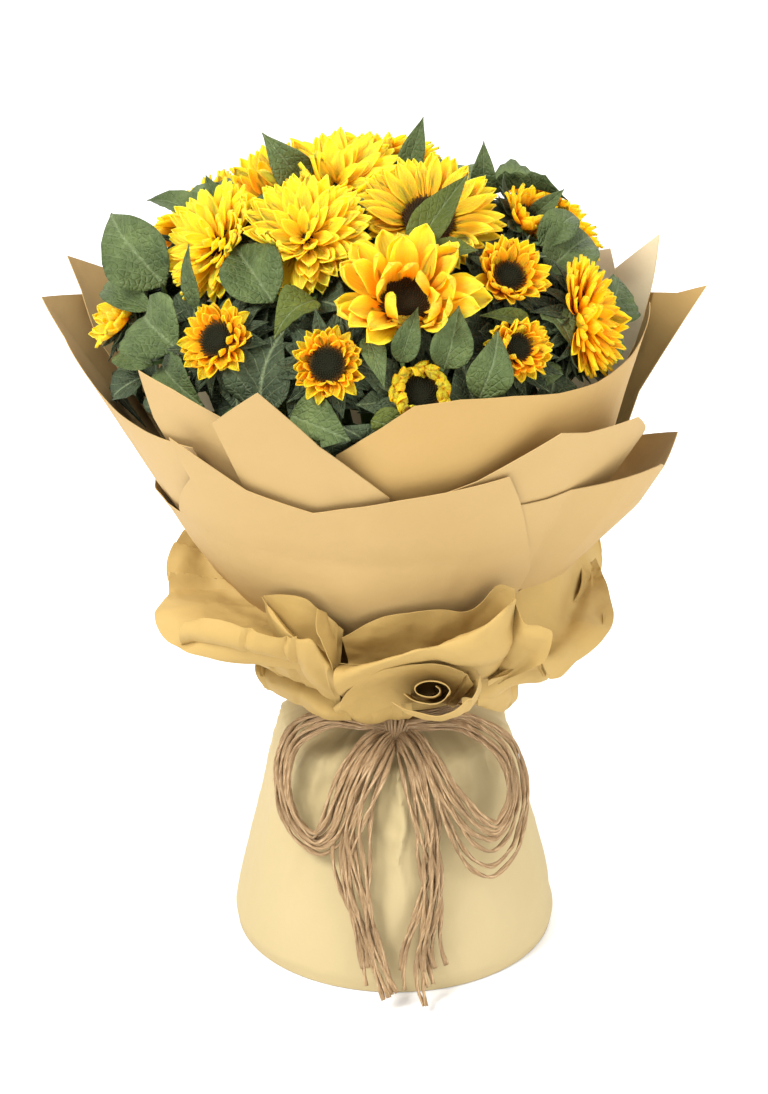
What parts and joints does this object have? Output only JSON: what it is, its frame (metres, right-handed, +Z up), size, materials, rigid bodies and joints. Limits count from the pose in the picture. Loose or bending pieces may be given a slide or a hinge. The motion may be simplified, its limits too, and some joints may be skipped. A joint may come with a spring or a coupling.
{
  "type": "bunch of sunflowers",
  "caption": "Bunch of sunflowers in layered kraft paper with a ruffled collar, tied with a jute bow and standing on its flared paper skirt.",
  "frame": {"origin": "under the middle of the bunch, at the level that it stands on", "axes": "+Z up along the stems to the blooms, -Y the front with the bow, +X to the right as seen from the front"},
  "size_m": [0.4592, 0.3832, 0.6093],
  "materials": {
    "petals": "matte",
    "disc": "matte",
    "green": "matte",
    "kraft": "matte",
    "cream": "matte",
    "twine": "matte"
  },
  "bodies": {
    "root": {"disc_A": "disc", "disc_B": "disc", "disc_C": "disc", "disc_D": "disc", "disc_E": "disc", "disc_F": "disc", "disc_G": "disc", "disc_H": "disc", "disc_I": "disc", "disc_J": "disc", "disc_K": "disc", "disc_L": "disc", "disc_M": "disc", "disc_N": "disc", "disc_P": "disc", "disc_Q": "disc", "disc_S": "disc", "disc_T": "disc", "leafy_stems_1": "green", "leafy_stems_2": "green", "leafy_stems_3": "green", "leafy_stems_4": "green", "leafy_stems_5": "green", "leafy_stems_6": "green", "paper_back": "kraft", "paper_band_left": "kraft", "paper_band_right": "kraft", "paper_collar": "kraft", "paper_front_centre": "kraft", "paper_front_left": "kraft", "paper_front_right": "kraft", "paper_left_tall": "kraft", "paper_left_wing": "kraft", "paper_lower_right": "kraft", "paper_right_tall": "kraft", "paper_right_wing": "kraft", "paper_skirt": "cream", "petals_A": "petals", "petals_B": "petals", "petals_C": "petals", "petals_D": "petals", "petals_E": "petals", "petals_F": "petals", "petals_G": "petals", "petals_H": "petals", "petals_I": "petals", "petals_J": "petals", "petals_K": "petals", "petals_L": "petals", "petals_M": "petals", "petals_N": "petals", "petals_P": "petals", "petals_Q": "petals", "petals_S": "petals", "petals_T": "petals", "twine_knot": "twine", "twine_loop_left": "twine", "twine_loop_right": "twine", "twine_tail_left": "twine", "twine_tail_right": "twine"}
  },
  "joints": []
}
